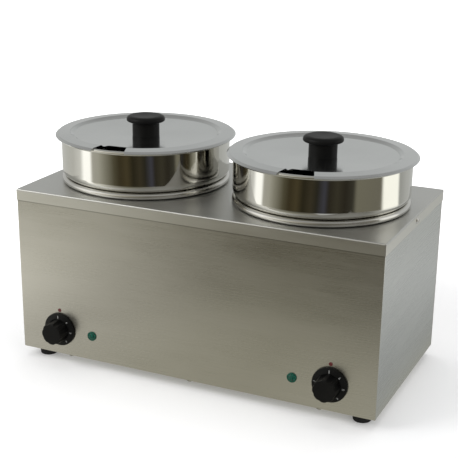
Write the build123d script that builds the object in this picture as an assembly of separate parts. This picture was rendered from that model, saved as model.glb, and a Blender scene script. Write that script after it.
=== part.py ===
from build123d import *
import os
from math import cos, radians, sin, sqrt

# A counter-top bain-marie for two round pots, in millimetres. The origin is the centre of the
# footprint, controls and cable gland included, on the surface that the feet stand on.
# X runs along the front, -Y is the front with the controls, and +Z is up.

# Sheet metal, the gaps between pieces, and how far a cutting shape overruns what it cuts
sheet = 0.8
bend = 1.6
flange = 10.0
cover_gap = 0.3
contact_gap = 0.1
lift_gap = 0.3
shaft_gap = 0.05
hole_gap = 0.2
overrun = 1.0

# Pots: a wide polished band over a narrower body that hangs in the well
band_radius = 114.0
pot_wall = 0.8
pot_step = 16.0
shoulder_corner = 12.0
shoulder_throat = 2.8
body_depth = 108.0
body_corner = 12.0
band_height = 57.8
pot_rim = 2.5

# Lids: a plate that dips to its knob inside a raised flange with a turned-down edge, and a notch
lid_overhang = 8.0
lid_sheet = 0.9
lid_slope = 0.065
lid_edge_width = 3.0
lid_edge_drop = 2.4
lid_edge_round = 1.5
lid_step_outer = 20.0
lid_step_width = 5.0
lid_plate_drop = 6.0
lid_plate_dip = 3.0
lid_dip_round = 40.0
lid_seat_margin = 3.0
lid_step_round = 2.5
notch_reach = 35.0
notch_inner_width = 28.0
notch_mouth = 48.0
notch_heading = 4.5
notch_round = 3.0

# Lid knobs
cap_radius = 26.0
stem_radius = 18.3
lid_knob_height = 26.6
cap_underside = 11.0
cap_edge = 5.4
cap_dish_radius = 19.5
cap_dish = 0.8
lid_screw_radius = 2.5
lid_screw_length = 14.0
lid_screw_head_radius = 4.5
lid_washer_radius = 7.0
lid_washer = 1.0

# Wells: each carries its pot on a rolled bead that stands above the deck
seat_bite = 7.8
well_wall = 0.8
well_depth = 130.0
well_corner = 14.0
bead_radius = 4.2
bead_lift = 4.6

# Casing and cover
lid_spacing = 11.0
side_margin = 5.5
front_margin = 6.0
casing_height = 227.0
cover_lip = 15.0
base_inset = 3.0

# Feet
foot_height = 13.0
foot_radius = 13.0
foot_taper = 1.5
foot_edge = 1.5
foot_inset = 25.0
foot_recess_radius = 6.5
foot_recess_depth = 7.0
foot_screw_radius = 2.5
foot_screw_head_radius = 4.5
foot_nut_across = 8.0

# Casing screws and the nuts that they enter
screw_radius = 2.0
screw_head_radius = 4.3
screw_head = 2.4
screw_grip = 6.0
nut_wall = 1.6
nut_height = 3.4
base_screw_pitch = 180.0
back_screw_inset = 24.0

# Controls on the front
knob_side_inset = 60.8
knob_rise = 36.7
knob_reach = 23.0
skirt_radius = 23.0
skirt_height = 4.4
skirt_edge = 2.2
skirt_wall = 1.6
skirt_gap = 0.8
grip_radius = 16.2
grip_draft = 1.2
grip_lobes = 8
flute_radius = 6.0
flute_depth = 2.5
knob_bore_depth = 13.0
shaft_radius = 3.0
shaft_flat = 0.7
shaft_end_play = 1.0
lamp_inboard = 50.0
lamp_drop = 1.3
dot_radius = 2.5
dot_thickness = 0.3
dot_above_knob = 27.1

# Thermostats behind the front
bush_radius = 5.0
bush_proud = 1.0
thermostat_width = 44.0
thermostat_height = 40.0
thermostat_length = 24.0
thermostat_plate = 1.2
thermostat_screw_pitch = 32.0
thermostat_screw_head = 2.0
thermostat_screw_head_radius = 3.2
tab_width = 6.3
tab_thickness = 0.8
tab_length = 8.0

# Signal lamps
lens_radius = 6.5
lens_bezel = 1.8
lens_dome = 2.6
lens_facet_radius = 4.6
lens_facets = 12
lamp_tube_radius = 5.0
lamp_tube_wall = 0.9
lamp_length = 24.0
lens_stub = 6.0
lamp_clip = 3.0

# Sensing bulbs on the wells
bulb_radius = 3.0
bulb_length = 70.0
bulb_rise = 12.0
bulb_heading = 45.0
capillary_radius = 0.9
capillary_bend = 9.0
clip_wall = 0.8
clip_width = 12.0

# Heaters under the wells
heater_radius = 75.0
heater_tube = 4.25
heater_gap_angle = 24.0
heater_leg = 20.0
heater_pin = 1.6
heater_pin_length = 9.0
clamp_width = 22.0
clamp_thickness = 2.0
clamp_overrun = 12.0
stud_radius = 3.0
stud_nut_across = 10.0
stud_nut_height = 5.0
cutout_radius = 8.0
cutout_height = 9.0
cutout_offset = 40.0

# Mains entry at the back
gland_side = 60.0
gland_rise = 40.0
gland_reach = 20.0
gland_bore = 3.8
gland_thread = 8.0
gland_across = 22.0
gland_flange = 5.0
gland_top_thread = 7.0
gland_inside = 12.0
gland_wall = 1.6
gland_end = 4.0
gland_nut = 4.0
block_length = 48.0
block_width = 18.0
block_height = 20.0
block_ways = 4
block_from_back = 30.0
terminal_head_radius = 2.8
terminal_well_radius = 3.2
earth_side = 40.0

# Slots in the base plate
slot_length = 46.0
slot_width = 5.0
slot_pitch = 14.0
slot_rows = 5

# Sizes that follow from the ones above
lid_radius = band_radius + lid_overhang
pot_x = lid_radius + lid_spacing / 2
cover_width = 2 * (pot_x + lid_radius + side_margin)
cover_depth = 2 * (lid_radius + front_margin)
panel_inset = sheet + cover_gap
cover_front = (knob_reach - gland_reach - cover_depth) / 2
cover_back = cover_front + cover_depth
pot_y = (cover_front + cover_back) / 2
panel_x = cover_width / 2 - panel_inset
panel_front = cover_front + panel_inset
panel_back = cover_back - panel_inset
casing_bottom = foot_height + sheet
deck = casing_bottom + casing_height
panel_top = deck - sheet

well_radius = band_radius - seat_bite
well_outer = well_radius + well_wall
well_bottom = deck - well_depth
bead_ring = well_radius + bead_radius
bead_z = deck + bead_lift

pot_corner_ring = band_radius - shoulder_corner
seat_reach = shoulder_corner + bead_radius + lift_gap
shoulder_z = bead_z + sqrt(seat_reach**2 - (bead_ring - pot_corner_ring) ** 2) - shoulder_corner
body_radius = band_radius - pot_step
pot_bottom = shoulder_z - body_depth
rim_top = shoulder_z + band_height
rim_z = rim_top - pot_rim
rim_ring = band_radius - pot_wall + pot_rim

lid_at_rim = rim_top + lift_gap + lid_sheet
lid_bend_radius = lid_radius - lid_edge_width
lid_bend_z = lid_at_rim - lid_slope * (lid_bend_radius - rim_ring)
lid_edge_z = lid_bend_z - lid_edge_drop
lid_step_radius = lid_radius - lid_step_outer
lid_step_z = lid_bend_z + lid_slope * (lid_bend_radius - lid_step_radius)
lid_plate_z = lid_step_z - lid_plate_drop
lid_plate_radius = lid_step_radius - lid_step_width
lid_seat_radius = stem_radius + lid_seat_margin

knob_x = cover_width / 2 - knob_side_inset
knob_z = casing_bottom + knob_rise
lamp_x = knob_x - lamp_inboard
lamp_z = knob_z - lamp_drop
grip_height = knob_reach - skirt_gap
panel_inner = panel_front + sheet
foot_x = cover_width / 2 - foot_inset
foot_y = cover_depth / 2 - foot_inset
gland_x = -gland_side
gland_z = casing_bottom + gland_rise

sides = (("left", -1), ("right", 1))
parts = {}


def block(x, y, z):
    """A box from its limits along each axis."""
    size = (x[1] - x[0], y[1] - y[0], z[1] - z[0])
    middle = ((x[0] + x[1]) / 2, (y[0] + y[1]) / 2, (z[0] + z[1]) / 2)
    return Pos(*middle) * Box(*size)


def rod(radius, low, high):
    """A cylinder about the Z axis between two heights."""
    return Pos(0, 0, (low + high) / 2) * Cylinder(radius, high - low)


def tube(outer, inner, low, high):
    """A round sleeve about the Z axis."""
    return rod(outer, low, high) - rod(inner, low - overrun, high + overrun)


def hexagon(across, low, high):
    """A hexagonal prism about the Z axis."""
    flat = RegularPolygon(across / 2, 6, major_radius=False)
    return Pos(0, 0, low) * extrude(flat, high - low)


def turned(outline):
    """A solid turned about the Z axis from an outline in radius and height."""
    face = make_face(outline)
    return revolve(Plane.XZ * face, Axis.Z)


def pressed(path, thickness):
    """A turned shell: a path in radius and height, thickened on its right-hand side."""
    wall = Wire(path.edges()).offset_2d(thickness, kind=Kind.INTERSECTION, side=Side.RIGHT)
    return turned(wall)


def rolled(points, radii, ring, height, radius):
    """A bowl's inner line, from the middle of its floor up to a rim rolled outwards."""
    bowl = FilletPolyline(*points, radius=radii)
    curl = CenterArc((ring, height), radius, 180, -250)
    return bowl + curl


def onto_front(shape, x, y, z):
    """Turns a piece built along +Z so that it points out of the front, and places it."""
    return Pos(x, y, z) * Rot(90, 0, 0) * shape


def onto_back(shape, x, y, z):
    """Turns a piece built along +Z so that it points out of the back, and places it."""
    return Pos(x, y, z) * Rot(-90, 0, 0) * shape


def domed_screw(radius, length, head_radius, head_height):
    """A cross-head screw whose head rests on the plane z = 0 and whose shank goes down."""
    dome = (head_radius**2 + head_height**2) / (2 * head_height)
    head = Pos(0, 0, head_height - dome) * Sphere(dome) & rod(head_radius, 0, head_height)
    recess = Box(head_radius, head_radius / 5, head_height)
    recess += Box(head_radius / 5, head_radius, head_height)
    return head + rod(radius, -length, 0) - Pos(0, 0, head_height) * recess


def casing_nut():
    """A round nut that a casing screw enters, seated on the plane z = 0 and going down."""
    return tube(screw_radius + nut_wall, screw_radius + shaft_gap, -nut_height, 0)


def cut_holes(shape, places, radius, depth):
    """Cuts a round hole along each placed Z axis."""
    for place in places:
        shape -= place * Cylinder(radius, depth)
    return shape


# Places of the casing screws: each is the outer surface under the head, with +Z pointing out
cover_screw_z = deck - cover_lip / 2
cover_places = [
    Pos(side * cover_width / 2, pot_y, cover_screw_z) * Rot(0, 90 * side, 0) for _, side in sides
]
base_flange_y = (flange + sheet) / 2
base_places = [
    Pos(column * base_screw_pitch, y, foot_height) * Rot(180, 0, 0)
    for column in (-1, 0, 1)
    for y in (panel_front + base_flange_y, panel_back - base_flange_y)
]
back_screw_x = panel_x - (flange + sheet) / 2
back_screw_low = casing_bottom + back_screw_inset
back_screw_high = deck - cover_lip - back_screw_inset
back_places = [
    Pos(side * back_screw_x, panel_back, z) * Rot(-90, 0, 0)
    for _, side in sides
    for z in (back_screw_low, (back_screw_low + back_screw_high) / 2, back_screw_high)
]
foot_places = [
    (end + "_" + name, side * foot_x, pot_y + way * foot_y)
    for end, way in (("front", -1), ("back", 1))
    for name, side in sides
]
screw_hole = screw_radius + hole_gap


def channel(outer, inward):
    """A full-width panel with its top and bottom edges folded in. inward is +1 or -1 along Y."""
    rise = panel_top - casing_bottom
    line = FilletPolyline((flange, 0), (0, 0), (0, rise), (flange, rise), radius=[bend, bend])
    wall = make_face(Wire(line.edges()).offset_2d(sheet, kind=Kind.INTERSECTION, side=Side.RIGHT))
    section = Plane.YZ * wall
    panel = Pos(-panel_x, 0, casing_bottom) * extrude(section, 2 * panel_x)
    if inward < 0:
        panel = mirror(panel, Plane.XZ)
    panel = Pos(0, outer, 0) * panel
    inside = sorted((outer + inward * sheet, outer + inward * (flange + overrun)))
    for _, side in sides:
        strip = sorted((side * (panel_x - sheet - cover_gap), side * (panel_x + overrun)))
        panel -= block(strip, inside, (casing_bottom - overrun, panel_top + overrun))
    return panel


# Front panel, with the holes of the controls
front_panel = channel(panel_front, 1)
for _, side in sides:
    bush_hole = rod(bush_radius + hole_gap, -2 * sheet, 2 * sheet)
    front_panel -= onto_front(bush_hole, side * knob_x, panel_front, knob_z)
    lamp_hole = rod(lamp_tube_radius + hole_gap, -2 * sheet, 2 * sheet)
    front_panel -= onto_front(lamp_hole, side * lamp_x, panel_front, lamp_z)
    for way in (-1, 1):
        x = side * knob_x + way * thermostat_screw_pitch / 2
        fixing_hole = rod(screw_hole, -2 * sheet, 2 * sheet)
        front_panel -= onto_front(fixing_hole, x, panel_front, knob_z)
front_panel = cut_holes(front_panel, base_places, screw_hole, 4 * sheet + overrun)
parts["front_panel"] = front_panel

# Back panel, with the hole of the cable gland
back_panel = channel(panel_back, -1)
gland_hole = rod(gland_thread + hole_gap, -2 * sheet, 2 * sheet)
back_panel -= onto_back(gland_hole, gland_x, panel_back, gland_z)
back_panel = cut_holes(back_panel, back_places, screw_hole, 4 * sheet)
back_panel = cut_holes(back_panel, base_places, screw_hole, 4 * sheet + overrun)
parts["back_panel"] = back_panel

# Side panels: shallow trays whose upright rims lie behind the front and back panels
for name, side in sides:
    tray_y = (panel_front + sheet, panel_back - sheet)
    tray_z = (casing_bottom, panel_top)
    tray = block((panel_x - flange, panel_x), tray_y, tray_z)
    tray = fillet(tray.faces().sort_by(Axis.X)[-1].edges(), bend)
    hollow = block(
        (panel_x - flange - overrun, panel_x - sheet),
        (tray_y[0] + sheet, tray_y[1] - sheet),
        (tray_z[0] + sheet, tray_z[1] - sheet),
    )
    tray -= fillet(hollow.faces().sort_by(Axis.X)[-1].edges(), bend - sheet)
    for y in tray_y:
        for z in tray_z:
            span_y = (y - flange - cover_gap, y + flange + cover_gap)
            span_z = (z - bend - cover_gap, z + bend + cover_gap)
            tray -= block((0, panel_x - sheet - cover_gap), span_y, span_z)
    tray = tray if side > 0 else mirror(tray, Plane.YZ)
    tray = cut_holes(tray, cover_places, screw_hole, 6 * sheet)
    tray = cut_holes(tray, back_places, screw_hole, 6 * sheet)
    parts[name + "_side_panel"] = tray

# Top cover: the deck with its two openings, and a lip that hangs over the panels
shell_y = (cover_front, cover_back)
shell = block((-cover_width / 2, cover_width / 2), shell_y, (deck - cover_lip, deck))
shell = fillet(shell.edges().sort_by(Axis.Z)[4:], bend)
inner_y = (cover_front + sheet, cover_back - sheet)
inner_x = cover_width / 2 - sheet
inner = block((-inner_x, inner_x), inner_y, (deck - cover_lip - overrun, deck - sheet))
shell -= fillet(inner.edges().sort_by(Axis.Z)[4:], bend - sheet)
for _, side in sides:
    shell -= Pos(side * pot_x, pot_y, 0) * rod(well_outer + contact_gap, deck - 2 * sheet, deck + overrun)
parts["top_cover"] = cut_holes(shell, cover_places, screw_hole, 6 * sheet)

# Base plate, with air slots under each well and the holes of its screws and feet
plate_x = panel_x - base_inset
plate_y = (panel_front + base_inset, panel_back - base_inset)
base_plate = block((-plate_x, plate_x), plate_y, (foot_height, casing_bottom))
base_plate = fillet(base_plate.edges().filter_by(Axis.Z), base_inset)
for _, side in sides:
    for row in range(slot_rows):
        y = pot_y + (row - (slot_rows - 1) / 2) * slot_pitch
        slot = extrude(SlotOverall(slot_length, slot_width), 4 * sheet)
        base_plate -= Pos(side * pot_x, y, foot_height - sheet) * slot
base_plate = cut_holes(base_plate, base_places, screw_hole, 4 * sheet)
foot_axes = [Pos(x, y, foot_height) for _, x, y in foot_places]
base_plate = cut_holes(base_plate, foot_axes, foot_screw_radius + hole_gap, 4 * sheet)
parts["base_plate"] = base_plate

# Feet, with the screws that go up through them and their nuts
foot_line = Polyline(
    (foot_screw_radius + hole_gap, foot_recess_depth),
    (foot_recess_radius, foot_recess_depth),
    (foot_recess_radius, 0),
    (foot_radius - foot_taper, 0),
    (foot_radius, foot_height),
    (foot_screw_radius + hole_gap, foot_height),
    close=True,
)
foot = turned(foot_line)
foot = fillet(foot.edges().group_by(Axis.Z)[0].sort_by(SortBy.LENGTH)[-1], foot_edge)
foot_shank = foot_height - foot_recess_depth + sheet + nut_height
foot_screw = domed_screw(foot_screw_radius, foot_shank, foot_screw_head_radius, screw_head)
foot_nut = hexagon(foot_nut_across, casing_bottom, casing_bottom + nut_height)
foot_nut -= rod(foot_screw_radius + shaft_gap, casing_bottom - overrun, casing_bottom + 2 * nut_height)
foot_screws = []
foot_nuts = []
for name, x, y in foot_places:
    parts[name + "_foot"] = Pos(x, y, 0) * foot
    foot_screws.append(Pos(x, y, foot_recess_depth) * Rot(180, 0, 0) * foot_screw)
    foot_nuts.append(Pos(x, y, 0) * foot_nut)
parts["foot_screws"] = foot_screws
parts["foot_nuts"] = foot_nuts

# Screws and nuts of the casing
casing_screw = domed_screw(screw_radius, screw_grip, screw_head_radius, screw_head)
parts["cover_screws"] = [place * casing_screw for place in cover_places]
parts["base_screws"] = [place * casing_screw for place in base_places]
parts["back_screws"] = [place * casing_screw for place in back_places]
under_lip = panel_inset + sheet
parts["casing_nuts"] = [place * Pos(0, 0, -under_lip) * casing_nut() for place in cover_places]
parts["casing_nuts"] += [place * Pos(0, 0, -2 * sheet) * casing_nut() for place in base_places]
parts["casing_nuts"] += [place * Pos(0, 0, -2 * sheet) * casing_nut() for place in back_places]

# Wells, with the stud that holds the heater clamp welded under each
well_line = rolled(
    [(0, well_bottom + well_wall), (well_radius, well_bottom + well_wall), (well_radius, bead_z)],
    [well_corner - well_wall],
    bead_ring,
    bead_z,
    bead_radius,
)
heater_z = well_bottom - contact_gap - heater_tube
clamp_top = heater_z - heater_tube - contact_gap
clamp_bottom = clamp_top - clamp_thickness
stud_end = clamp_bottom - stud_nut_height - clamp_thickness
well = pressed(well_line, well_wall) + rod(stud_radius, stud_end, well_bottom + well_wall / 2)

# Heaters: an open ring of sheathed element, whose two ends turn down to their pins
start = -90 + heater_gap_angle / 2
heater_arc = CenterArc((0, 0), heater_radius, start, 360 - heater_gap_angle)
heater_arc = Pos(0, 0, heater_z) * heater_arc
heater = sweep(Plane(origin=heater_arc @ 0, z_dir=heater_arc % 0) * Circle(heater_tube), heater_arc)
for end in (heater_arc @ 0, heater_arc @ 1):
    leg = Sphere(heater_tube) + rod(heater_tube, -heater_leg, 0)
    heater += Pos(end.X, end.Y, end.Z) * (leg + rod(heater_pin, -heater_leg - heater_pin_length, 0))
clamp_reach = heater_radius + clamp_overrun
clamp = block(
    (-clamp_reach, clamp_reach),
    (-clamp_width / 2, clamp_width / 2),
    (clamp_bottom, clamp_top),
)
clamp -= rod(stud_radius + hole_gap, clamp_bottom - overrun, clamp_top + overrun)
clamp_nut = hexagon(stud_nut_across, clamp_bottom - stud_nut_height, clamp_bottom)
clamp_nut -= rod(stud_radius + shaft_gap, stud_end - overrun, clamp_bottom + overrun)

# Cut-outs: small switches that open if a well boils dry
cutout = rod(cutout_radius, well_bottom - cutout_height, well_bottom)
for way in (-1, 1):
    spade = block(
        (way * cutout_radius / 2 - tab_thickness / 2, way * cutout_radius / 2 + tab_thickness / 2),
        (-tab_width / 2, tab_width / 2),
        (well_bottom - cutout_height - tab_length, well_bottom - cutout_height),
    )
    cutout += spade

# Sensing bulbs: each lies against the outside of its well and is fed by a thin capillary
bulb_ring = well_outer + contact_gap + bulb_radius
bulb_x = pot_x + bulb_ring * cos(radians(bulb_heading))
bulb_y = pot_y - bulb_ring * sin(radians(bulb_heading))
bulb_low = well_bottom + bulb_rise
thermostat_top = knob_z + thermostat_height / 2
capillary_z = (thermostat_top + bulb_low) / 2
thermostat_back = panel_inner + thermostat_plate + thermostat_length
capillary_y = (panel_inner + thermostat_plate + thermostat_back) / 2
capillary_line = FilletPolyline(
    (knob_x, capillary_y, thermostat_top),
    (knob_x, capillary_y, capillary_z),
    (bulb_x, bulb_y, capillary_z),
    (bulb_x, bulb_y, bulb_low),
    radius=[capillary_bend, capillary_bend],
)
capillary_end = Plane(origin=capillary_line @ 0, z_dir=capillary_line % 0)
bulb = sweep(capillary_end * Circle(capillary_radius), capillary_line)
bulb_body = rod(bulb_radius, bulb_low, bulb_low + bulb_length)
bulb += Pos(bulb_x, bulb_y, 0) * fillet(bulb_body.edges(), capillary_radius)
clip_middle = bulb_low + bulb_length / 2
clip_outer = bulb_radius + shaft_gap + clip_wall
clip = tube(clip_outer, bulb_radius + shaft_gap, -clip_width / 2, clip_width / 2)
clip = Pos(bulb_x, bulb_y, clip_middle) * clip
clip -= Pos(pot_x, pot_y, 0) * rod(well_outer + contact_gap, well_bottom, deck)

# Thermostats: a fixing plate behind the panel, the body, and the bush that the shaft turns in
body_back = thermostat_plate + thermostat_length
half_width = thermostat_width / 2
half_height = thermostat_height / 2
thermostat = block((-half_width, half_width), (-half_height, half_height), (-body_back, -thermostat_plate))
thermostat = fillet(thermostat.edges().filter_by(Axis.Z), bend)
thermostat += block((-half_width, half_width), (-half_height / 2, half_height / 2), (-thermostat_plate, 0))
thermostat += rod(bush_radius, -thermostat_plate, sheet + bush_proud)
thermostat -= rod(shaft_radius + shaft_gap, -body_back / 2, sheet + bush_proud + overrun)
for way in (-1, 1):
    x = way * thermostat_screw_pitch / 2
    thermostat -= Pos(x, 0, 0) * rod(screw_radius + shaft_gap, -screw_grip, overrun)
    lug = block(
        (way * half_width / 2 - tab_width / 2, way * half_width / 2 + tab_width / 2),
        (-tab_thickness / 2, tab_thickness / 2),
        (-body_back - tab_length, -body_back),
    )
    thermostat += lug
thermostat_screw = domed_screw(
    screw_radius, screw_grip, thermostat_screw_head_radius, thermostat_screw_head
)

# Control knobs: a skirt with a hollow back, and a fluted grip
grip_top = grip_radius - grip_draft
skirt_line = Polyline(
    (0, skirt_height),
    (grip_radius, skirt_height),
    (skirt_radius, skirt_edge),
    (skirt_radius, 0),
    (skirt_radius - skirt_wall, 0),
    (skirt_radius - skirt_wall, skirt_edge - skirt_wall / 2),
    (grip_radius, skirt_height - skirt_wall),
    (0, skirt_height - skirt_wall),
    close=True,
)
skirt = turned(skirt_line)
skirt_rim = skirt.edges().filter_by_position(Axis.Z, skirt_edge - 0.01, skirt_edge + 0.01)
skirt = fillet(skirt_rim.sort_by(SortBy.LENGTH)[-1], skirt_wall / 4)
grip_line = Polyline(
    (0, skirt_height - skirt_wall),
    (grip_radius, skirt_height - skirt_wall),
    (grip_top, grip_height),
    (0, grip_height),
    close=True,
)
grip = turned(grip_line)
grip = fillet(grip.edges().group_by(Axis.Z)[-1], skirt_wall)
for lobe in range(grip_lobes):
    flute = Pos(grip_radius + flute_radius - flute_depth, 0, 0) * rod(
        flute_radius, skirt_height, grip_height + overrun
    )
    grip -= Rot(0, 0, (lobe + 0.5) * 360 / grip_lobes) * flute
hub_radius = shaft_radius + 2 * skirt_wall
knob = skirt + grip + rod(hub_radius, skirt_edge / 2, skirt_height)
shaft_profile = rod(shaft_radius, shaft_end_play - body_back / 2 - sheet - skirt_gap, knob_bore_depth)
flat_cut = block(
    (-shaft_radius, shaft_radius),
    (shaft_radius - shaft_flat, shaft_radius + overrun),
    (0, knob_bore_depth + overrun),
)
shaft = shaft_profile - flat_cut
socket = rod(shaft_radius + shaft_gap, -overrun, knob_bore_depth + shaft_gap)
socket -= Pos(0, shaft_gap, 0) * flat_cut
knob -= socket

# Signal lamps: a green lens over a nylon body, held by a spring clip behind the panel
lens_line = Polyline(
    (0, 0),
    (lens_radius, 0),
    (lens_radius, lens_bezel),
    (0, lens_bezel),
    close=True,
)
lens = turned(lens_line)
lens = fillet(lens.edges().group_by(Axis.Z)[-1], lens_bezel / 2)
facet_base = Pos(0, 0, lens_bezel) * RegularPolygon(lens_facet_radius, lens_facets)
facet_top = RegularPolygon(lens_facet_radius - lens_dome, lens_facets)
facets = loft([facet_base, Pos(0, 0, lens_bezel + lens_dome) * facet_top])
lamp_bore = lamp_tube_radius - lamp_tube_wall
lens = lens + facets + rod(lamp_bore - contact_gap, -lens_stub, 0)
lamp_body = rod(lamp_tube_radius, -lamp_length, 0) - rod(lamp_bore, -lens_stub - lamp_tube_wall, overrun)
for way in (-1, 1):
    lamp_tab = block(
        (way * lamp_bore / 2 - tab_thickness / 2, way * lamp_bore / 2 + tab_thickness / 2),
        (-lamp_tube_radius / 2, lamp_tube_radius / 2),
        (-lamp_length - tab_length, -lamp_length),
    )
    lamp_body += lamp_tab
lamp_washer = tube(
    lamp_tube_radius + lamp_clip,
    lamp_tube_radius + contact_gap,
    -2 * sheet,
    -sheet,
)

# Pots and lids
pot_line = rolled(
    [
        (0, pot_bottom + pot_wall),
        (body_radius - pot_wall, pot_bottom + pot_wall),
        (body_radius - pot_wall, shoulder_z + pot_wall),
        (band_radius - pot_wall, shoulder_z + pot_wall),
        (band_radius - pot_wall, rim_z),
    ],
    [body_corner - pot_wall, shoulder_throat, shoulder_corner - pot_wall],
    rim_ring,
    rim_z,
    pot_rim,
)
pot = pressed(pot_line, pot_wall)
lid_line = FilletPolyline(
    (0, lid_plate_z),
    (lid_seat_radius, lid_plate_z),
    (lid_plate_radius, lid_plate_z + lid_plate_dip),
    (lid_step_radius, lid_step_z),
    (lid_bend_radius, lid_bend_z),
    (lid_radius, lid_edge_z),
    radius=[lid_dip_round, lid_step_round, lid_step_round, lid_edge_round],
)
lid = pressed(lid_line, lid_sheet)
notch_inner = lid_radius - notch_reach
notch_flare = (notch_mouth - notch_inner_width) / 2 / notch_reach
notch_outer = lid_radius + lid_step_outer
outer_half = notch_inner_width / 2 + notch_flare * (notch_outer - notch_inner)
notch_line = Polyline(
    (-notch_inner_width / 2, -notch_inner),
    (-outer_half, -notch_outer),
    (outer_half, -notch_outer),
    (notch_inner_width / 2, -notch_inner),
    close=True,
)
notch = make_face(notch_line)
notch = fillet(notch.vertices().sort_by(Axis.Y)[-2:], notch_round)
notch_tool = Pos(0, 0, lid_plate_z - notch_reach) * extrude(notch, 2 * notch_reach)
lid -= Rot(0, 0, notch_heading) * notch_tool
lid -= rod(lid_screw_radius + hole_gap, lid_plate_z - 2 * lid_sheet, lid_plate_z + overrun)

# Lid knobs: a round stem under a wide rounded cap with a shallow dish
neck = lid_knob_height - cap_underside
cap_middle = lid_knob_height - cap_edge
knob_line = Polyline((0, 0), (stem_radius, 0), (stem_radius, neck))
knob_line += Spline((stem_radius, neck), (cap_radius, cap_middle), tangents=[(0, 1), (0, 1)])
knob_line += Spline(
    (cap_radius, cap_middle), (cap_dish_radius, lid_knob_height), tangents=[(0, 1), (-1, 0.1)]
)
knob_line += Polyline(
    (cap_dish_radius, lid_knob_height),
    (0, lid_knob_height - cap_dish),
    (0, 0),
)
lid_knob = turned(knob_line)
knob_hole = lid_screw_length - lid_sheet - lid_washer
lid_knob -= rod(lid_screw_radius + shaft_gap, -overrun, knob_hole + shaft_gap)
lid_knob = Pos(0, 0, lid_plate_z) * lid_knob
lid_screw_seat = lid_plate_z - lid_sheet - lid_washer
lid_screw = domed_screw(lid_screw_radius, lid_screw_length, lid_screw_head_radius, screw_head)
lid_screw = Pos(0, 0, lid_screw_seat) * Rot(180, 0, 0) * lid_screw
washer = tube(
    lid_washer_radius, lid_screw_radius + shaft_gap, lid_screw_seat, lid_screw_seat + lid_washer
)

# One of each for both sides
parts["thermostat_screws"] = []
parts["clamp_nuts"] = []
parts["lamp_clips"] = []
parts["index_dots"] = []
for name, side in sides:
    over_pot = Pos(side * pot_x, pot_y, 0)
    parts[name + "_well"] = over_pot * well
    parts[name + "_heater"] = over_pot * heater
    parts[name + "_heater_clamp"] = over_pot * clamp
    parts["clamp_nuts"].append(over_pot * clamp_nut)
    parts[name + "_cutout"] = over_pot * Pos(0, cutout_offset, 0) * cutout
    parts[name + "_sensing_bulb"] = bulb if side > 0 else mirror(bulb, Plane.YZ)
    parts[name + "_bulb_clip"] = clip if side > 0 else mirror(clip, Plane.YZ)
    parts[name + "_thermostat"] = onto_front(thermostat, side * knob_x, panel_inner, knob_z)
    for way in (-1, 1):
        x = side * knob_x + way * thermostat_screw_pitch / 2
        parts["thermostat_screws"].append(onto_front(thermostat_screw, x, panel_front, knob_z))
    knob_front = panel_front - skirt_gap
    parts[name + "_control_knob"] = onto_front(knob, side * knob_x, knob_front, knob_z)
    parts[name + "_control_shaft"] = onto_front(shaft, side * knob_x, knob_front, knob_z)
    parts[name + "_lamp_lens"] = onto_front(lens, side * lamp_x, panel_front, lamp_z)
    parts[name + "_lamp_body"] = onto_front(lamp_body, side * lamp_x, panel_front, lamp_z)
    parts["lamp_clips"].append(onto_front(lamp_washer, side * lamp_x, panel_front, lamp_z))
    dot = rod(dot_radius, 0, dot_thickness)
    parts["index_dots"].append(onto_front(dot, side * knob_x, panel_front, knob_z + dot_above_knob))
    parts[name + "_pot"] = over_pot * pot
    parts[name + "_lid"] = over_pot * lid
    parts[name + "_lid_knob"] = over_pot * lid_knob
    parts[name + "_lid_screw"] = over_pot * lid_screw
    parts[name + "_lid_washer"] = over_pot * washer

# Cable gland: body, seal, dome nut and the lock nut inside the panel
gland_top = gland_flange + gland_top_thread
gland_seal_top = gland_reach - gland_end - contact_gap
gland_body = hexagon(gland_across, 0, gland_flange) + rod(gland_thread, -gland_inside, gland_top)
gland_body -= rod(gland_bore, -gland_inside - overrun, gland_top + overrun)
cap_bore = gland_thread + contact_gap
gland_cap = hexagon(gland_across, gland_flange + contact_gap, gland_top)
gland_cap += rod(cap_bore + gland_wall, gland_flange + contact_gap, gland_reach)
gland_cap = gland_cap - rod(cap_bore, 0, gland_reach - gland_end) - rod(gland_bore, 0, gland_reach + overrun)
gland_seal = tube(gland_thread, gland_bore, gland_top + contact_gap, gland_seal_top)
lock_nut = hexagon(gland_across, -sheet - gland_nut, -sheet)
lock_nut -= rod(gland_thread + shaft_gap, -sheet - gland_nut - overrun, 0)
gland = {"body": gland_body, "cap": gland_cap, "seal": gland_seal, "lock_nut": lock_nut}
for name, piece in gland.items():
    parts["gland_" + name] = onto_back(piece, gland_x, panel_back, gland_z)

# Terminal block, its screws, and the earth stud, on the base plate
block_y = panel_back - block_from_back - block_width / 2
way_pitch = block_length / block_ways
terminal_block = block(
    (gland_x - block_length / 2, gland_x + block_length / 2),
    (block_y - block_width / 2, block_y + block_width / 2),
    (casing_bottom, casing_bottom + block_height),
)
terminal_screws = []
terminal_screw = domed_screw(screw_radius, block_height / 2, terminal_head_radius, screw_radius / 2)
wire_hole = Rot(90, 0, 0) * Cylinder(screw_radius, 2 * block_width)
for way in range(block_ways):
    x = gland_x + (way - (block_ways - 1) / 2) * way_pitch
    terminal_block -= Pos(x, block_y, casing_bottom + block_height / 4) * wire_hole
    seat = Pos(x, block_y, casing_bottom + block_height - screw_radius)
    terminal_block -= seat * rod(terminal_well_radius, 0, 2 * screw_radius)
    terminal_block -= seat * rod(screw_radius + shaft_gap, -block_height / 2, overrun)
    terminal_screws.append(seat * terminal_screw)
parts["terminal_block"] = terminal_block
parts["terminal_screws"] = terminal_screws
earth_x = gland_x + block_length / 2 + earth_side
earth_top = casing_bottom + 3 * stud_nut_height
earth_stud = rod(stud_radius, casing_bottom, earth_top)
earth_nut = hexagon(stud_nut_across, casing_bottom, casing_bottom + stud_nut_height)
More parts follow.
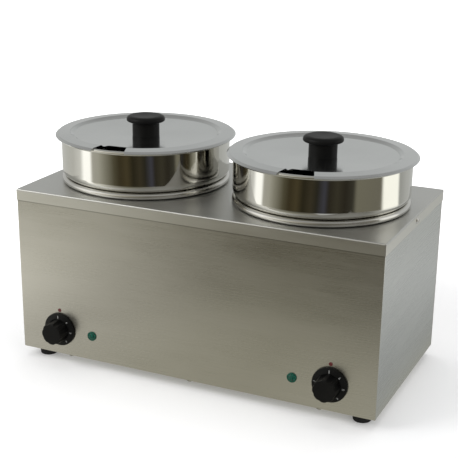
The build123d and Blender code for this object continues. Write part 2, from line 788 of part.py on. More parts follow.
earth_nut -= rod(stud_radius + shaft_gap, casing_bottom - overrun, earth_top)
parts["earth_stud"] = Pos(earth_x, block_y, 0) * earth_stud
parts["earth_nut"] = Pos(earth_x, block_y, 0) * earth_nut

# Writing the pieces
os.makedirs("parts", exist_ok=True)
for name, shape in parts.items():
    solid = Compound(children=shape) if isinstance(shape, list) else shape
    export_step(solid, "parts/" + name + ".step")
    print(name, len(solid.solids()), "solid(s)", round(solid.volume), "mm3")
print("cover", round(cover_width, 1), "by", round(cover_depth, 1), "deck at", round(deck, 1))
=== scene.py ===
# %% [markdown]
# A bain-marie for two round pots
#
# The steel casing, the wells, the pots, the lids and the knobs come from the CAD model, which is
# loaded as a fixed frame and is never moved or reshaped. This script gives each of them its finish,
# adds the marks on the two dials, and sets up the floor, the lamps, the camera and the cards that the
# polished steel shows. Everything is in metres: +X runs along the front, -Y is the front, +Z is up.

# %% Load the frame
import math
import bpy
from mathutils import Matrix, Vector


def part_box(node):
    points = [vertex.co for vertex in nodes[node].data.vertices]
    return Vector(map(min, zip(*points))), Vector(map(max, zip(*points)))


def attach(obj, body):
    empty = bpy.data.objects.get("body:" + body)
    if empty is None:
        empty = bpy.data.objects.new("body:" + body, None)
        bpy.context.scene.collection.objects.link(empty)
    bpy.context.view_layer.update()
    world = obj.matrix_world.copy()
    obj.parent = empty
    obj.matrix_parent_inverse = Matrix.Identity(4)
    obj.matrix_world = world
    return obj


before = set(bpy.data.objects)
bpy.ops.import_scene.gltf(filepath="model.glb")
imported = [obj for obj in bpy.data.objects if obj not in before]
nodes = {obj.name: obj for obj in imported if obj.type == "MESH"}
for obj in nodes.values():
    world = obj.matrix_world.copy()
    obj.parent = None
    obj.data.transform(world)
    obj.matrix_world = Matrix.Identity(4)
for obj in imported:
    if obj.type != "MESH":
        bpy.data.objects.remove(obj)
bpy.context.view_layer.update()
scene = bpy.context.scene
sides = ("left", "right")

# %% [markdown]
# A shader tree for each finish
#
# Every finish on the real machine is a surface with its own colour, shine and wear. A picture could be
# wrapped around each piece, but the pieces have no UV map, and a picture blurs close up. So each finish
# is a small tree of nodes around a Principled shader. These two helpers keep such trees short to read:
# one makes a finish, and the other adds a node.

# %% Helpers for a finish and its nodes
def new_finish(name, **values):
    """A material with a Principled shader, whose constant values are set straight on its sockets."""
    finish = bpy.data.materials.new(name)
    finish.use_nodes = True
    shader = finish.node_tree.nodes["Principled BSDF"]
    for socket, value in values.items():
        shader.inputs[socket.replace("_", " ").capitalize()].default_value = value
    return finish, finish.node_tree, shader


def add(tree, kind, **settings):
    """A node of one kind, with its properties set."""
    node = tree.nodes.new(kind)
    for name, value in settings.items():
        setattr(node, name, value)
    return node


print("finish helpers ready")

# %% [markdown]
# Patterns that run on from piece to piece
#
# The grain of a sheet, wear and dust are patterns in the material itself. They could be laid out on
# each face, but then they would break at every edge. Object coordinates avoid that: each piece's
# origin is the origin of the whole machine, so a pattern keeps one scale and runs on across the joints.

# %% Helpers for places and patterns
def place_on(tree, stretch=(1, 1, 1)):
    """Object coordinates, stretched along each axis."""
    coordinates = add(tree, "ShaderNodeTexCoord")
    mapping = add(tree, "ShaderNodeMapping")
    mapping.inputs["Scale"].default_value = stretch
    tree.links.new(coordinates.outputs["Object"], mapping.inputs["Vector"])
    return mapping.outputs["Vector"]


def axes(tree):
    """The X, Y and Z of the Object coordinates, as three outputs."""
    parts = add(tree, "ShaderNodeSeparateXYZ")
    tree.links.new(place_on(tree), parts.inputs["Vector"])
    return parts.outputs


def reach(tree):
    """The distance from the middle of the machine's footprint."""
    node = add(tree, "ShaderNodeVectorMath", operation="LENGTH")
    tree.links.new(place_on(tree), node.inputs[0])
    return node.outputs["Value"]


def noise(tree, scale, detail=3.0, stretch=(1, 1, 1)):
    """A noise pattern: scale is in cycles for each metre."""
    node = add(tree, "ShaderNodeTexNoise")
    node.inputs["Scale"].default_value = scale
    node.inputs["Detail"].default_value = detail
    tree.links.new(place_on(tree, stretch), node.inputs["Vector"])
    return node.outputs["Fac"]


print("pattern helpers ready")

# %% [markdown]
# From a pattern to a colour, a shine or a dent
#
# Where a hand or a belt has worn the steel, its colour, its shine and its surface change together.
# Ready-made pictures could hold all three, but a noise pattern, which is only a number between zero and
# one, can drive them all from the same places. So these helpers turn that number into a value, a mix of
# two colours or a shallow height, and the last one puts the finish on CAD pieces.

# %% Helpers for values, colours and bump
def between(tree, factor, low, high, from_low=0.3, from_high=0.7):
    """Goes from low to high while the factor goes from from_low to from_high."""
    node = add(tree, "ShaderNodeMapRange")
    limits = (("From Min", from_low), ("From Max", from_high), ("To Min", low), ("To Max", high))
    for socket, value in limits:
        node.inputs[socket].default_value = value
    tree.links.new(factor, node.inputs["Value"])
    return node.outputs["Result"]


def mix_colours(tree, factor, first, second):
    """A colour between two others."""
    node = add(tree, "ShaderNodeMix", data_type="RGBA")
    tree.links.new(factor, node.inputs["Factor"])
    for socket, colour in (("A", first), ("B", second)):
        target = [s for s in node.inputs if s.name == socket and s.type == "RGBA"][0]
        if isinstance(colour, tuple):
            target.default_value = (*colour, 1.0)
        else:
            tree.links.new(colour, target)
    return [s for s in node.outputs if s.type == "RGBA"][0]


def combine(tree, operation, first, second):
    """One value from two by a Math node."""
    node = add(tree, "ShaderNodeMath", operation=operation)
    for index, value in enumerate((first, second)):
        if isinstance(value, float):
            node.inputs[index].default_value = value
        else:
            tree.links.new(value, node.inputs[index])
    return node.outputs[0]


def bump(tree, shader, height, strength, depth):
    """Bump of a real depth in metres."""
    node = add(tree, "ShaderNodeBump")
    node.inputs["Strength"].default_value = strength
    node.inputs["Distance"].default_value = depth
    tree.links.new(height, node.inputs["Height"])
    tree.links.new(node.outputs["Normal"], shader.inputs["Normal"])


def dress(finish, *names):
    """Puts a finish on CAD pieces."""
    for name in names:
        data = nodes[name].data
        data.materials.clear()
        data.materials.append(finish)
    print(finish.name, "on", ", ".join(names))


print("value, colour and bump helpers ready")

# %% [markdown]
# Brushed stainless sheet
#
# The casing is stainless sheet with a fine grain that an abrasive belt leaves. On the real sheet the
# grain is thousands of scratches, long one way and a few hundredths of a millimetre wide. Real
# scratches would need millions of faces, so noise is stretched: a low scale along the sheet and a high
# one across it. It drives the roughness, a little of the colour and a shallow bump. A second, soft
# noise, stretched less, stands for the uneven wear and wiping that leave long clouds on a large sheet.

# %% A recipe for brushed sheet
def brushed_steel(name, light, dark, grain, cloud, roughness=0.29):
    """Brushed sheet: grain and cloud are the cycles for each metre along X, Y and Z."""
    finish, tree, shader = new_finish(name, metallic=1.0)
    scratches = noise(tree, 1.0, 4.0, grain)
    clouds = noise(tree, 1.0, 4.0, cloud)
    fine = between(tree, scratches, -0.04, 0.04)
    wide = between(tree, clouds, -0.03, 0.03)
    total = combine(tree, "ADD", combine(tree, "ADD", fine, wide), roughness)
    tree.links.new(total, shader.inputs["Roughness"])
    shade = combine(tree, "ADD", between(tree, scratches, 0.0, 0.5), between(tree, clouds, 0.0, 0.5))
    tree.links.new(mix_colours(tree, shade, dark, light), shader.inputs["Base Color"])
    bump(tree, shader, scratches, 0.12, 0.00001)
    return finish


along_x = (8.0, 2600.0, 2600.0)
along_y = (2600.0, 8.0, 2600.0)
cloud_x = (7.0, 28.0, 28.0)
cloud_y = (28.0, 7.0, 28.0)
print("grain with", along_x[1], "cycles for each metre across the sheet")

# %% Brushed sheet on the casing
casing_finish = brushed_steel("casing_steel", (0.60, 0.585, 0.54), (0.52, 0.505, 0.46), along_x, cloud_x)
side_finish = brushed_steel("side_steel", (0.59, 0.60, 0.585), (0.51, 0.52, 0.505), along_y, cloud_y)
deck_finish = brushed_steel("deck_steel", (0.59, 0.59, 0.57), (0.51, 0.51, 0.49), along_x, cloud_x, 0.35)
plate_finish = brushed_steel("plate_steel", (0.50, 0.50, 0.50), (0.42, 0.42, 0.42), along_x, cloud_x, 0.40)
dress(casing_finish, "front_panel", "back_panel")
dress(side_finish, "left_side_panel", "right_side_panel")
dress(deck_finish, "top_cover")
dress(plate_finish, "base_plate")

# %% [markdown]
# The lip of the cover and the painted shade line under it
#
# The top cover turns down over the panels in a lip. In the photograph it looks a little lighter and
# smoother than the deck, with a thin line of shade under its edge. The lip could be a piece with a
# finish of its own, but on the real machine it is one sheet with the deck. So a band between two
# heights tints the finish that is there already, and another paints that shade onto the panels below it.

# %% Helpers for a tinted band
def band(tree, low, high, blur):
    """One between two heights, and zero beyond them."""
    height = axes(tree)["Z"]
    above = between(tree, height, 0.0, 1.0, low - blur, low + blur)
    below = between(tree, height, 1.0, 0.0, high - blur, high + blur)
    return combine(tree, "MULTIPLY", above, below)


def tint(finish, mask, colour, extra_roughness):
    """Another colour and roughness where the mask is one."""
    tree = finish.node_tree
    shader = tree.nodes["Principled BSDF"]
    plain = shader.inputs["Base Color"].links[0].from_socket
    tree.links.new(mix_colours(tree, mask, plain, colour), shader.inputs["Base Color"])
    dull = shader.inputs["Roughness"].links[0].from_socket
    added = combine(tree, "MULTIPLY", mask, extra_roughness)
    tree.links.new(combine(tree, "ADD", dull, added), shader.inputs["Roughness"])


print("band helpers ready")

# %% The lip and the painted shade line under it
deck_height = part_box("top_cover")[1].z
lip_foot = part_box("top_cover")[0].z
past_edge = 0.01
bend_height, lip_blur = 0.0025, 0.0005
line_height, line_blur = 0.0016, 0.0004
lip_mask = band(deck_finish.node_tree, lip_foot - past_edge, deck_height - bend_height, lip_blur)
tint(deck_finish, lip_mask, (0.64, 0.63, 0.59), -0.02)
# A thin darker line on the panels just below the lip is painted shade, where the lip overhangs them.
for panel_finish in (casing_finish, side_finish):
    painted_shade_line = band(panel_finish.node_tree, lip_foot - line_height, lip_foot + past_edge, line_blur)
    tint(panel_finish, painted_shade_line, (0.36, 0.35, 0.32), 0.0)
print("lip from", round(lip_foot, 4), "to", round(deck_height, 4))

# %% [markdown]
# Polished stainless
#
# The pots, the lids and the beads of the wells are polished until they mirror the room. One low
# roughness all over would be quick, but a perfect mirror this large looks like glass. So a faint
# turning grain and the marks of fingers and cloths roughen the shine in patches.

# %% Polished steel
def polished_steel(name, colour, roughness, smears):
    """Polished sheet: smears is how much duller the worst patches are."""
    finish, tree, shader = new_finish(name, metallic=1.0)
    patches = noise(tree, 14.0, 5.0)
    streaks = noise(tree, 1.0, 3.0, (25.0, 25.0, 900.0))
    worn = combine(tree, "ADD", between(tree, patches, 0.0, smears, 0.45, 0.75), roughness)
    total = combine(tree, "ADD", worn, between(tree, streaks, 0.0, smears / 2))
    tree.links.new(total, shader.inputs["Roughness"])
    dull = tuple(0.93 * channel for channel in colour)
    mixed = mix_colours(tree, between(tree, patches, 0.0, 1.0), colour, dull)
    tree.links.new(mixed, shader.inputs["Base Color"])
    bump(tree, shader, streaks, 0.06, 0.00002)
    return finish, tree, shader


pot_finish, _, _ = polished_steel("pot_steel", (0.68, 0.67, 0.63), 0.05, 0.05)
lid_finish, _, _ = polished_steel("lid_steel", (0.60, 0.61, 0.61), 0.09, 0.05)
dress(pot_finish, "left_pot", "right_pot")
dress(lid_finish, "left_lid", "right_lid")

# %% [markdown]
# Water marks in the wells
#
# The wells hold hot water, and hard water leaves a pale, rough bloom up to the water line. It could be
# a thin separate skin, but it has no thickness to speak of. So it is mixed into the polished steel:
# one mask for the height, with a wavering edge, times a mask of fine blotches.

# %% Well steel with water marks
water_line = 0.203
fade_height = 0.01
well_finish, tree, shader = polished_steel("well_steel", (0.64, 0.63, 0.60), 0.08, 0.08)
edge = combine(tree, "ADD", axes(tree)["Z"], between(tree, noise(tree, 30.0), -0.006, 0.006))
wet = between(tree, edge, 1.0, 0.0, water_line - fade_height, water_line)
blotches = between(tree, noise(tree, 160.0, 6.0), 0.05, 0.35, 0.35, 0.8)
tint(well_finish, combine(tree, "MULTIPLY", wet, blotches), (0.70, 0.69, 0.65), 0.5)
dress(well_finish, "left_well", "right_well")
print("water line at", water_line)

# %% [markdown]
# Black plastic and rubber
#
# The knobs are phenolic mouldings: nearly black, with a low gloss, a very fine orange-peel surface and
# a trace of dust that lightens them in patches. One flat black would look like a hole in the picture,
# so dust patches vary both the colour and the gloss. The feet are softer rubber with no gloss, and the
# cable gland is nylon: both come from the same recipe.

# %% Black mouldings
def black_moulding(name, colour, dust, roughness, grain_depth):
    """Black plastic or rubber with dust in patches."""
    finish, tree, shader = new_finish(name)
    shader.inputs["IOR"].default_value = 1.5
    shader.inputs["Specular IOR Level"].default_value = 0.12
    grain = noise(tree, 900.0, 2.0)
    patches = noise(tree, 35.0, 4.0)
    tree.links.new(mix_colours(tree, between(tree, patches, 0.0, 1.0, 0.35, 0.8), colour, dust),
                   shader.inputs["Base Color"])
    tree.links.new(between(tree, patches, roughness - 0.05, roughness + 0.08), shader.inputs["Roughness"])
    bump(tree, shader, grain, 0.2, grain_depth)
    return finish


knob_finish = black_moulding("knob_plastic", (0.004, 0.004, 0.004), (0.007, 0.007, 0.006), 0.40, 0.00005)
rubber_finish = black_moulding("foot_rubber", (0.012, 0.012, 0.012), (0.028, 0.027, 0.026), 0.75, 0.0002)
gland_finish = black_moulding("gland_nylon", (0.016, 0.016, 0.017), (0.025, 0.025, 0.025), 0.50, 0.0001)
dress(knob_finish, "left_lid_knob", "right_lid_knob", "left_control_knob", "right_control_knob")
dress(rubber_finish, "front_left_foot", "front_right_foot", "back_left_foot", "back_right_foot",
      "gland_seal")
dress(gland_finish, "gland_body", "gland_cap", "gland_lock_nut")

# %% [markdown]
# Lamp lenses and dots
#
# Each lens is clear green plastic over a dark lamp, so it looks deep teal with small bright facets.
# Fully clear plastic would show the lamp behind it, and plain green paint looks flat. A shader with
# part transmission and fine speckle lies between: the speckle is a fine bump, and lighter specks in the
# colour are painted glints for the bright facets. The dots above the dials are printed in dark red, so
# they have little shine and a slightly uneven ink.

# %% Lens and dot
lens_finish, tree, shader = new_finish("lens_green", roughness=0.12)
shader.inputs["IOR"].default_value = 1.49
shader.inputs["Transmission Weight"].default_value = 0.35
shader.inputs["Specular IOR Level"].default_value = 0.25
# Lighter specks in the lens colour are painted glints for its bright facets; the same speckle is also a
# fine bump.
speckle = noise(tree, 700.0, 1.0)
painted_glints = between(tree, speckle, 0.0, 1.0, 0.4, 0.65)
tree.links.new(mix_colours(tree, painted_glints, (0.003, 0.055, 0.036), (0.012, 0.16, 0.105)),
               shader.inputs["Base Color"])
bump(tree, shader, speckle, 0.3, 0.0002)
dot_finish, tree, shader = new_finish("dot_red", roughness=0.45)
tree.links.new(mix_colours(tree, noise(tree, 600.0), (0.075, 0.008, 0.009), (0.13, 0.014, 0.015)),
               shader.inputs["Base Color"])
dress(lens_finish, "left_lamp_lens", "right_lamp_lens")
dress(dot_finish, "index_dots")

# %% [markdown]
# Fasteners and the parts inside the casing
#
# Little of this shows from outside, but it does through the slots below, and it shows to anyone who
# takes a panel off, so each part has its real material: plated screws, copper bulbs, heat-darkened
# sheath, ceramic, brass and plain nylon. Each could have a recipe of its own, but at this size they
# differ only in colour, metal and shine, so one recipe with two shades serves them all.

# %% A recipe for small parts
def plain_finish(name, light, dark, metallic, roughness, scale=120.0):
    """A finish that varies between two shades and a little in its shine."""
    finish, tree, shader = new_finish(name, metallic=metallic)
    pattern = noise(tree, scale, 5.0)
    shade = mix_colours(tree, between(tree, pattern, 0.0, 1.0), dark, light)
    tree.links.new(shade, shader.inputs["Base Color"])
    tree.links.new(between(tree, pattern, roughness - 0.08, roughness + 0.08), shader.inputs["Roughness"])
    bump(tree, shader, pattern, 0.1, 0.0001)
    return finish


print("recipe for small parts ready")

# %% Plated and inner finishes
screw_finish = plain_finish("screw_steel", (0.66, 0.65, 0.63), (0.50, 0.49, 0.47), 1.0, 0.25)
dress(screw_finish, "foot_screws", "foot_nuts", "cover_screws", "base_screws", "back_screws", "casing_nuts",
      "thermostat_screws", "clamp_nuts", "lamp_clips",
      *(side + "_" + part for side in sides
        for part in ("lid_screw", "lid_washer", "control_shaft", "heater_clamp", "bulb_clip")))
heater_finish = plain_finish("heater_sheath", (0.30, 0.27, 0.24), (0.12, 0.10, 0.10), 1.0, 0.45, 40.0)
dress(heater_finish, "left_heater", "right_heater")
copper_finish = plain_finish("bulb_copper", (0.72, 0.38, 0.24), (0.45, 0.22, 0.14), 1.0, 0.30)
dress(copper_finish, "left_sensing_bulb", "right_sensing_bulb")
brass_finish = plain_finish("brass", (0.72, 0.55, 0.27), (0.50, 0.36, 0.16), 1.0, 0.30)
dress(brass_finish, "terminal_screws", "earth_stud", "earth_nut")
ceramic_finish = plain_finish("block_ceramic", (0.80, 0.78, 0.73), (0.70, 0.68, 0.62), 0.0, 0.55)
dress(ceramic_finish, "terminal_block")
nylon_finish = plain_finish("lamp_nylon", (0.74, 0.72, 0.67), (0.66, 0.64, 0.59), 0.0, 0.50)
dress(nylon_finish, "left_lamp_body", "right_lamp_body")
phenolic_finish = plain_finish("thermostat_body", (0.06, 0.05, 0.045), (0.03, 0.025, 0.02), 0.0, 0.50)
dress(phenolic_finish, "left_thermostat", "right_thermostat", "left_cutout", "right_cutout")

# %% [markdown]
# The marks on the dials
#
# Each dial has a short white line at zero and the numbers 1 to 6 around its skirt, printed on the flat
# ring outside the grip. They could be painted into the knob's finish, but they would blur there. The
# marks repeat around a ring, so Geometry Nodes lay them out: one tree turns each character into a
# filled curve, gives it the thickness of ink, moves it out to the ring and turns it to its angle. The
# numbers run anticlockwise, so that turning the knob clockwise brings a higher number up to the dot.

# %% Sizes and ink of the marks
mark_ring = 0.0188
mark_height = 0.0046
mark_thickness = 0.00012
mark_step = math.radians(46.5)
tick_width = 0.0011
tick_length = 0.0042
last_number = 6
skirt_depth = 0.0044
ink_finish, tree, shader = new_finish("dial_ink", roughness=0.5)
tree.links.new(mix_colours(tree, noise(tree, 1500.0), (0.28, 0.28, 0.27), (0.42, 0.42, 0.40)),
               shader.inputs["Base Color"])
print("marks for 0 to", last_number)

# %% One mark, moved out and turned
def mark_outline(tree, source, number):
    """The outline of the line at zero, or of a number."""
    if number:
        letters = add(tree, "GeometryNodeStringToCurves", align_x="CENTER", align_y="MIDDLE")
        letters.inputs["String"].default_value = str(number)
        tree.links.new(source["Height"], letters.inputs["Size"])
        return letters.outputs["Curve Instances"]
    line = add(tree, "GeometryNodeCurvePrimitiveQuadrilateral")
    line.inputs["Width"].default_value = tick_width
    line.inputs["Height"].default_value = tick_length
    return line.outputs["Curve"]


def placed_mark(tree, source, number):
    """One mark as a thin plate, out on the ring and turned to its angle."""
    filled = add(tree, "GeometryNodeFillCurve")
    thick = add(tree, "GeometryNodeExtrudeMesh")
    thick.inputs["Individual"].default_value = False
    tree.links.new(mark_outline(tree, source, number), filled.inputs["Curve"])
    tree.links.new(filled.outputs["Mesh"], thick.inputs["Mesh"])
    tree.links.new(source["Thickness"], thick.inputs["Offset Scale"])
    place = add(tree, "ShaderNodeCombineXYZ")
    moved = add(tree, "GeometryNodeTransform")
    tree.links.new(source["Ring"], place.inputs["Y"])
    tree.links.new(place.outputs["Vector"], moved.inputs["Translation"])
    tree.links.new(thick.outputs["Mesh"], moved.inputs["Geometry"])
    steps = float(number - last_number - 1) if number else 0.0
    turn = add(tree, "ShaderNodeCombineXYZ")
    turned = add(tree, "GeometryNodeTransform")
    tree.links.new(combine(tree, "MULTIPLY", source["Step"], steps), turn.inputs["Z"])
    tree.links.new(turn.outputs["Vector"], turned.inputs["Rotation"])
    tree.links.new(moved.outputs["Geometry"], turned.inputs["Geometry"])
    return turned.outputs["Geometry"]


print("mark helpers ready")

# %% The tree that lays out the marks
def mark_tree(finish):
    """All the marks of a dial around its middle, facing +Z."""
    tree = bpy.data.node_groups.new("dial_marks", "GeometryNodeTree")
    face = tree.interface
    face.new_socket("Geometry", in_out="OUTPUT", socket_type="NodeSocketGeometry")
    for name, value in (("Ring", mark_ring), ("Height", mark_height), ("Thickness", mark_thickness),
                        ("Step", mark_step)):
        socket = face.new_socket(name, in_out="INPUT", socket_type="NodeSocketFloat")
        socket.default_value = value
    source = add(tree, "NodeGroupInput").outputs
    gather = add(tree, "GeometryNodeJoinGeometry")
    for number in range(last_number + 1):
        tree.links.new(placed_mark(tree, source, number), gather.inputs["Geometry"])
    real = add(tree, "GeometryNodeRealizeInstances")
    painted = add(tree, "GeometryNodeSetMaterial")
    painted.inputs["Material"].default_value = finish
    result = add(tree, "NodeGroupOutput")
    tree.links.new(gather.outputs["Geometry"], real.inputs["Geometry"])
    tree.links.new(real.outputs["Geometry"], painted.inputs["Geometry"])
    tree.links.new(painted.outputs["Geometry"], result.inputs["Geometry"])
    return tree


marks_tree = mark_tree(ink_finish)
print(marks_tree.name, "with", len(marks_tree.nodes), "nodes")

# %% [markdown]
# The marks as plain meshes
#
# On the real dial the ink turns with the knob. The tree could stay live on an object, but a mesh that
# rides on a body has to be a plain one. So the tree's result is taken as a mesh, stood upright against
# the face of the skirt, and set to ride on the body that the knob belongs to.

# %% Dial marks as plain meshes
for side in sides:
    low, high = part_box(side + "_control_knob")
    middle = (low + high) / 2
    skirt_front = high.y - skirt_depth
    holder = bpy.data.objects.new("maker", bpy.data.meshes.new("maker"))
    scene.collection.objects.link(holder)
    holder.modifiers.new("marks", "NODES").node_group = marks_tree
    bpy.context.view_layer.update()
    made = bpy.data.meshes.new_from_object(holder.evaluated_get(bpy.context.evaluated_depsgraph_get()))
    bpy.data.objects.remove(holder)
    stand = Matrix.Translation((middle.x, skirt_front, middle.z)) @ Matrix.Rotation(math.pi / 2, 4, "X")
    made.transform(stand)
    made.name = side + "_dial_marks"
    marks = bpy.data.objects.new(side + "_dial_marks", made)
    scene.collection.objects.link(marks)
    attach(marks, side + "_control")
    print(marks.name, len(made.polygons), "faces")

# %% [markdown]
# Floor
#
# The machine stands on a pale floor in a white studio, as in a product photograph. A floor lit until it
# turns white would need so much light that the steel burned out. So the floor has a plain pale colour
# and a glow of its own, which only the camera, reflections and clear plastic see. The glow is faint
# near the machine, so that its shadow still shows, and strong further out.

# %% Floor
def seen_directly(tree):
    """One for rays from the camera, reflections and clear plastic, and zero for rays that only light."""
    rays = add(tree, "ShaderNodeLightPath").outputs
    direct = combine(tree, "MAXIMUM", rays["Is Camera Ray"], rays["Is Glossy Ray"])
    return combine(tree, "MAXIMUM", direct, rays["Is Transmission Ray"])


half = 6
near_glow, far_glow = 0.15, 0.9
glow_rises, glow_full = 0.45, 1.0
floor_corners = [(-half, -half, 0), (half, -half, 0), (half, half, 0), (-half, half, 0)]
floor_data = bpy.data.meshes.new("floor")
floor_data.from_pydata(floor_corners, [], [(0, 1, 2, 3)])
floor = bpy.data.objects.new("floor", floor_data)
scene.collection.objects.link(floor)
floor_finish, tree, shader = new_finish("floor_white", roughness=0.9)
shader.inputs["Base Color"].default_value = (0.9, 0.9, 0.9, 1)
shader.inputs["Emission Color"].default_value = (1, 1, 1, 1)
glow = between(tree, reach(tree), near_glow, far_glow, glow_rises, glow_full)
tree.links.new(combine(tree, "MULTIPLY", seen_directly(tree), glow), shader.inputs["Emission Strength"])
floor_data.materials.append(floor_finish)
print("floor of", floor.dimensions.x, "m")

# %% [markdown]
# Surroundings
#
# Behind the machine there is only white. A backdrop board could give that, but it would throw light
# about. The world does it with two backgrounds: plain white for what is seen directly, and a softer
# grey for the light that falls on the machine, so that colours come out about as they are written.

# %% Surroundings
world = bpy.data.worlds.new("studio")
scene.world = world
world.use_nodes = True
tree = world.node_tree
tree.nodes.clear()
ambient = add(tree, "ShaderNodeBackground")
ambient.inputs["Color"].default_value = (0.55, 0.55, 0.56, 1)
white = add(tree, "ShaderNodeBackground")
white.inputs["Color"].default_value = (1, 1, 1, 1)
choice = add(tree, "ShaderNodeMixShader")
tree.links.new(seen_directly(tree), choice.inputs[0])
tree.links.new(ambient.outputs[0], choice.inputs[1])
tree.links.new(white.outputs[0], choice.inputs[2])
out = add(tree, "ShaderNodeOutputWorld")
tree.links.new(choice.outputs[0], out.inputs["Surface"])
print("world", world.name)

# %% [markdown]
# Lamps
#
# The photograph has soft light from the upper left, with no hard shadow. A sun lamp or a bulb would
# draw sharp edges, so three large area lamps do it: the main one at the left, a weaker one at the
# right, and one above, for the soft shadow under the machine.

# %% Lamps
def soft_lamp(name, place, size, watts, aim=(0.0, 0.0, 0.15)):
    """A rectangular lamp that points at the middle of the machine."""
    data = bpy.data.lights.new(name, "AREA")
    data.shape = "RECTANGLE"
    data.size, data.size_y = size
    data.energy = watts
    lamp = bpy.data.objects.new(name, data)
    lamp.location = place
    lamp.rotation_euler = (Vector(aim) - Vector(place)).to_track_quat("-Z", "Y").to_euler()
    scene.collection.objects.link(lamp)
    print(name, "at", place)


soft_lamp("key_lamp", (-1.5, -1.4, 1.5), (1.2, 1.2), 22.0)
soft_lamp("fill_lamp", (1.7, -1.0, 1.2), (1.2, 1.2), 9.0)
soft_lamp("top_lamp", (0.0, 0.3, 2.0), (1.6, 1.2), 12.0)

# %% [markdown]
# Cards that the polished steel shows
#
# Steel has hardly any colour of its own: it shows what stands around it. In an empty white room it
# would look like white plastic, and real pots look like steel because a room has windows, walls and a
# dark side. A room could be built around the machine, or a picture of one used, but two painted cards
# do it with a few shades: a disc on the floor, and a dome. Only reflections see them, so they neither
# hide the white background nor change the light on the floor or the shadow.

# %% Helpers for cards
def card(name, corners, faces, paint):
    """A card that only reflections see, with shades painted on it by a shader tree."""
    data = bpy.data.meshes.new(name)
    data.from_pydata(corners, [], faces)
    piece = bpy.data.objects.new(name, data)
    finish = bpy.data.materials.new(name)
    finish.use_nodes = True
    tree = finish.node_tree
    tree.nodes.clear()
    glow = add(tree, "ShaderNodeEmission")
    tree.links.new(paint(tree), glow.inputs["Color"])
    tree.links.new(glow.outputs[0], add(tree, "ShaderNodeOutputMaterial").inputs["Surface"])
    data.materials.append(finish)
    scene.collection.objects.link(piece)
    for ray in ("camera", "diffuse", "shadow", "transmission"):
        setattr(piece, "visible_" + ray, False)
    print(name, "with", len(faces), "faces")


def ramp(tree, factor, stops):
    """A colour ramp from (place, colour) stops."""
    node = add(tree, "ShaderNodeValToRGB")
    points = node.color_ramp.elements
    for point, (place, colour) in ((points[0], stops[0]), (points[1], stops[-1])):
        point.position = place
        point.color = (*colour, 1)
    for place, colour in stops[1:-1]:
        points.new(place).color = (*colour, 1)
    tree.links.new(factor, node.inputs[0])
    return node.outputs[0]


print("card helpers ready")

# %% [markdown]
# Shades along the floor near the machine
#
# The flat panels reflect the floor close by: the lower part of a panel shows the floor next to it, and
# the upper part shows the floor further out. On the photographed machine the front falls from light at
# the left to dark at the upper right. One even grey would leave it flat, so there are two rows of
# shades along X: one for the floor next to the machine, and one for the ring around it.

# %% Shades along X
near_shades = (
    (-0.40, (0.86, 0.85, 0.79)), (-0.25, (0.62, 0.61, 0.55)), (-0.08, (0.46, 0.45, 0.38)),
    (0.05, (0.40, 0.39, 0.32)), (0.24, (0.47, 0.46, 0.39)), (0.29, (0.40, 0.41, 0.40)),
    (0.48, (0.54, 0.55, 0.54)),
)
middle_shades = (
    (-0.50, (1.20, 1.19, 1.10)), (-0.40, (0.85, 0.84, 0.77)), (-0.28, (0.42, 0.41, 0.36)),
    (-0.18, (0.24, 0.23, 0.19)), (-0.05, (0.14, 0.135, 0.10)), (0.10, (0.12, 0.115, 0.09)),
    (0.25, (0.20, 0.19, 0.16)), (0.30, (0.56, 0.57, 0.56)), (0.48, (0.68, 0.69, 0.68)),
)
row_half = 0.5


def by_x(tree, stops):
    """Shades along X, up to half a metre either way."""
    along = between(tree, axes(tree)["X"], 0.0, 1.0, -row_half, row_half)
    return ramp(tree, along, [(row_half + x, colour) for x, colour in stops])


print(len(near_shades), "near shades and", len(middle_shades), "in the middle ring")

# %% [markdown]
# Shades by heading, for the round pots
#
# A round pot turns the room into upright stripes: each strip of its wall reflects one heading. The
# photographed pots show a bright window at each side, warm grey next to it, and a dark room with thin
# lighter stripes in front. So these shades run around the machine by heading, in degrees from the
# camera's side, positive to its right. The outer floor has them, and the dome has calmer ones.

# %% Shades by heading
far_shades = (
    (-170, (0.60, 0.60, 0.58)), (-110, (0.62, 0.62, 0.58)), (-95, (0.80, 0.80, 0.76)),
    (-89, (1.5, 1.5, 1.45)), (-79, (1.5, 1.5, 1.45)), (-75, (0.50, 0.49, 0.43)),
    (-66, (0.46, 0.45, 0.38)), (-58, (0.30, 0.29, 0.23)), (-45, (0.10, 0.09, 0.055)),
    (-37, (0.05, 0.04, 0.02)), (-28, (0.075, 0.06, 0.03)), (-20, (0.028, 0.024, 0.013)),
    (-11, (0.05, 0.042, 0.025)), (-4, (0.028, 0.026, 0.018)), (4, (0.06, 0.06, 0.075)),
    (9, (0.03, 0.026, 0.018)), (18, (0.05, 0.045, 0.03)), (27, (0.03, 0.026, 0.018)),
    (36, (0.05, 0.047, 0.035)), (40, (0.21, 0.20, 0.15)), (70, (0.19, 0.18, 0.14)),
    (74, (1.4, 1.4, 1.3)), (97, (1.4, 1.4, 1.3)), (101, (0.42, 0.43, 0.41)),
    (116, (0.52, 0.53, 0.51)), (170, (0.60, 0.61, 0.60)),
)
room_shades = (
    (-180, (0.57, 0.58, 0.57)), (-112, (0.60, 0.60, 0.58)), (-96, (1.2, 1.2, 1.15)),
    (-78, (1.2, 1.2, 1.15)), (-70, (0.95, 0.94, 0.86)), (-45, (0.68, 0.66, 0.58)),
    (-22, (0.36, 0.34, 0.28)), (0, (0.17, 0.16, 0.13)), (42, (0.15, 0.14, 0.12)),
    (68, (0.25, 0.24, 0.20)), (74, (1.2, 1.2, 1.15)), (97, (1.2, 1.2, 1.15)),
    (106, (0.62, 0.63, 0.62)), (150, (0.62, 0.63, 0.62)), (180, (0.57, 0.58, 0.57)),
)
overhead_shade = (0.40, 0.40, 0.39)
camera_side = math.radians(154.5)


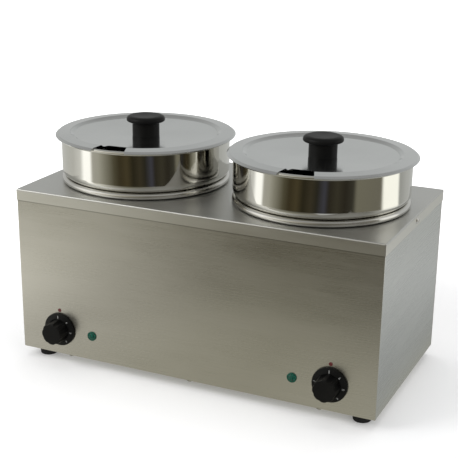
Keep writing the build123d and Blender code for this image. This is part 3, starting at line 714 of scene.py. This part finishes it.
def by_heading(tree, stops):
    """Shades by heading, in degrees from the camera's side, positive to its right."""
    turned = add(tree, "ShaderNodeVectorRotate", rotation_type="Z_AXIS")
    turned.inputs["Angle"].default_value = camera_side
    parts = add(tree, "ShaderNodeSeparateXYZ")
    tree.links.new(place_on(tree), turned.inputs["Vector"])
    tree.links.new(turned.outputs[0], parts.inputs[0])
    heading = combine(tree, "ARCTAN2", parts.outputs["X"], parts.outputs["Y"])
    return ramp(tree, between(tree, heading, 1.0, 0.0, -math.pi, math.pi),
                [(0.5 + angle / 360, colour) for angle, colour in stops])


print(len(far_shades), "far shades and", len(room_shades), "on the dome")

# %% Paint for the two cards
middle_ring = (0.30, 0.60)
far_ring = (0.56, 0.86)
overhead_heights = (0.9, 1.7)


def floor_paint(tree):
    """Shades by heading far out, which the pots show, and by X close in, which the panels show."""
    distance = reach(tree)
    inner = mix_colours(tree, between(tree, distance, 0.0, 1.0, *middle_ring),
                        by_x(tree, near_shades), by_x(tree, middle_shades))
    blend = between(tree, distance, 0.0, 1.0, *far_ring)
    return mix_colours(tree, blend, inner, by_heading(tree, far_shades))


def room_paint(tree):
    """Shades by heading low down, and one grey overhead."""
    rise = between(tree, axes(tree)["Z"], 0.0, 1.0, *overhead_heights)
    return mix_colours(tree, rise, by_heading(tree, room_shades), overhead_shade)


print("far shades from", far_ring[0], "to", far_ring[1], "m")

# %% The two cards
room_reach = 2.0
card_height = 0.002
segments = 48
rings = (0, 12, 24, 36, 48, 60, 72, 84)
turns = [2 * math.pi * step / segments for step in range(segments)]
corners = []
for rise in map(math.radians, rings):
    level = room_reach * math.cos(rise)
    height = card_height + room_reach * math.sin(rise)
    corners += [(level * math.cos(turn), level * math.sin(turn), height) for turn in turns]
walls = [(ring * segments + step, ring * segments + (step + 1) % segments,
          (ring + 1) * segments + (step + 1) % segments, (ring + 1) * segments + step)
         for ring in range(len(rings) - 1) for step in range(segments)]
crown = tuple(range(len(corners) - segments, len(corners)))
card("floor_card", corners[:segments], [tuple(range(segments))], floor_paint)
card("room_card", corners, walls + [crown], room_paint)

# %% [markdown]
# Camera
#
# The photograph was taken from a little above and to the right of the front. The place could be found
# by eye, but then every edge would be a little off, so it was fitted to the edges of the casing, the
# lids, the beads and the controls. The middle of the picture doesn't lie on the axis of the lens, as
# in a picture cut from a larger one, so the view is shifted a little as well as turned.

# %% Camera
camera_data = bpy.data.cameras.new("camera")
camera_data.sensor_width = 36.0
camera_data.lens = 88.885
camera_data.shift_x = 0.0331
camera_data.shift_y = 0.0627
camera = bpy.data.objects.new("camera", camera_data)
camera.location = (0.6004, -1.3184, 0.6562)
camera.rotation_euler = [math.radians(angle) for angle in (70.528, -0.425, 25.472)]
scene.collection.objects.link(camera)
scene.camera = camera
scene.view_settings.view_transform = "Standard"
print("camera", round(camera.location.length, 3), "m from the middle of the footprint")
